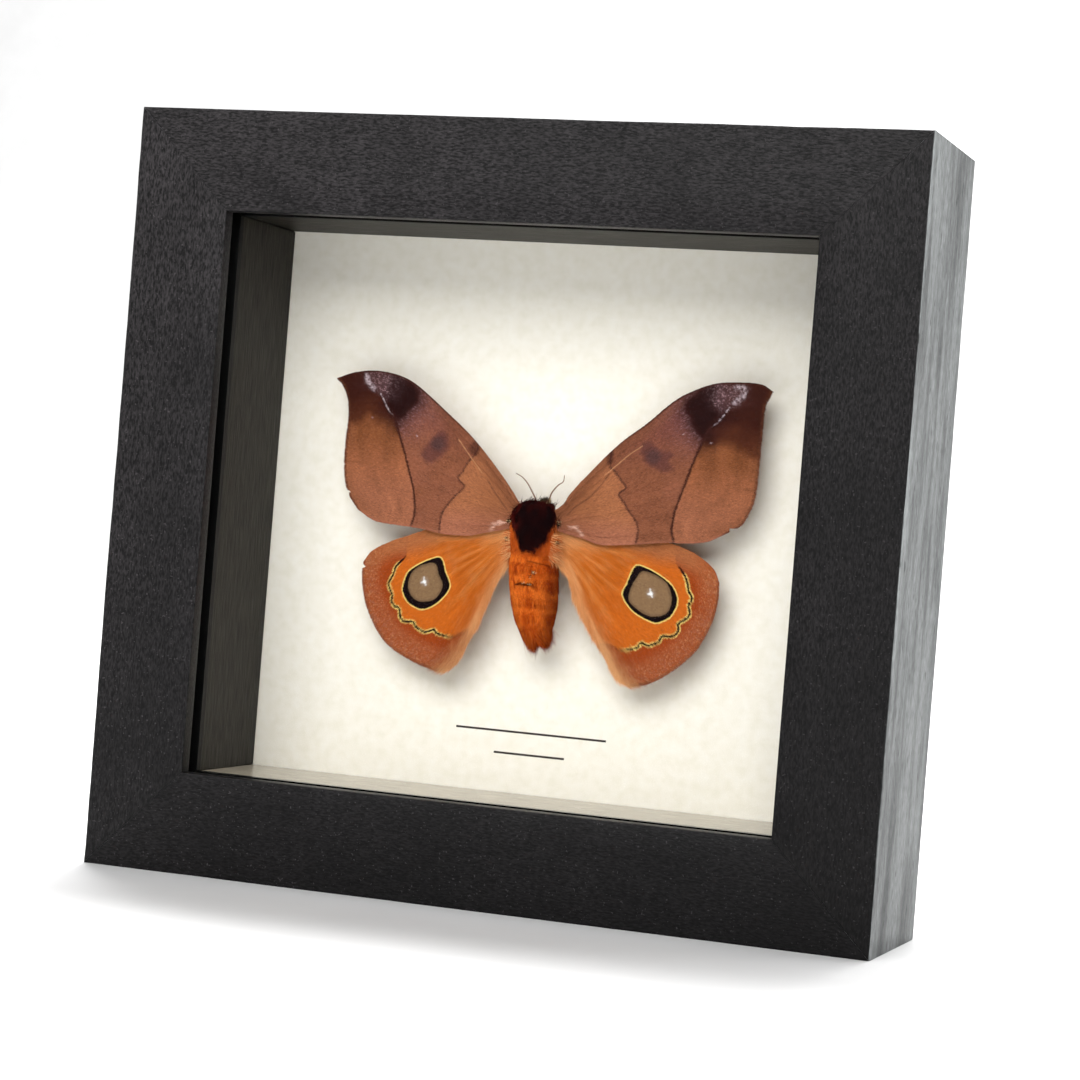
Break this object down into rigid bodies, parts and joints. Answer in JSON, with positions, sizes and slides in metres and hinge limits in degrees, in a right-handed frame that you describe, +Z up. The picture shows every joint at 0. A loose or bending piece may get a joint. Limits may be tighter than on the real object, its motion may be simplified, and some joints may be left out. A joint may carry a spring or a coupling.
{
  "type": "framed moth specimen",
  "caption": "Spread moth with hooked fore wings and eye-spotted hind wings, mounted on pale paper behind glass in a deep mitred wooden shadow-box frame.",
  "frame": {"origin": "middle of the case's footprint, on the surface it stands on", "axes": "+X to the right as seen from the front, +Y from the glass side to the back, +Z up"},
  "size_m": [0.16, 0.0384, 0.151],
  "materials": {
    "black_wood": "satin black stain over fine straight grain",
    "black_spacer": "black stained strips with visible grain",
    "glass": "clear picture glass",
    "ivory_paper": "matte parchment-mottled ivory paper",
    "board": "brown hardboard back",
    "steel": "stamped zinc-coated plate",
    "foam": "dense white foam",
    "thorax_fur": "dense velvety dark maroon fur with rust-orange flanks",
    "abdomen_fur": "dense rust-orange fur in rings",
    "head_fur": "short dark brown fur",
    "eye": "dry dark compound eye, dull gloss",
    "feeler": "dry brown chitin with fine teeth",
    "fore_wing": "dry scaled membrane, tan and mauve with a dark maroon tip",
    "hind_wing": "dry scaled membrane, orange with a black-ringed eye spot",
    "leg": "folded dry legs with short brown fur"
  },
  "bodies": {
    "root": {"rail_top": "black_wood", "rail_bottom": "black_wood", "stile_left": "black_wood", "stile_right": "black_wood", "spacer_top": "black_spacer", "spacer_bottom": "black_spacer", "spacer_left": "black_spacer", "spacer_right": "black_spacer", "glass_pane": "glass", "backing_paper": "ivory_paper", "backing_board": "board", "hanger": "steel", "mount_block": "foam", "thorax": "thorax_fur", "abdomen": "abdomen_fur", "head": "head_fur", "eye_left": "eye", "eye_right": "eye", "antenna_left": "feeler", "antenna_right": "feeler", "forewing_left": "fore_wing", "forewing_right": "fore_wing", "hindwing_left": "hind_wing", "hindwing_right": "hind_wing", "leg_fore_left": "leg", "leg_fore_right": "leg", "leg_mid_left": "leg", "leg_mid_right": "leg", "leg_hind_left": "leg", "leg_hind_right": "leg"}
  },
  "joints": []
}
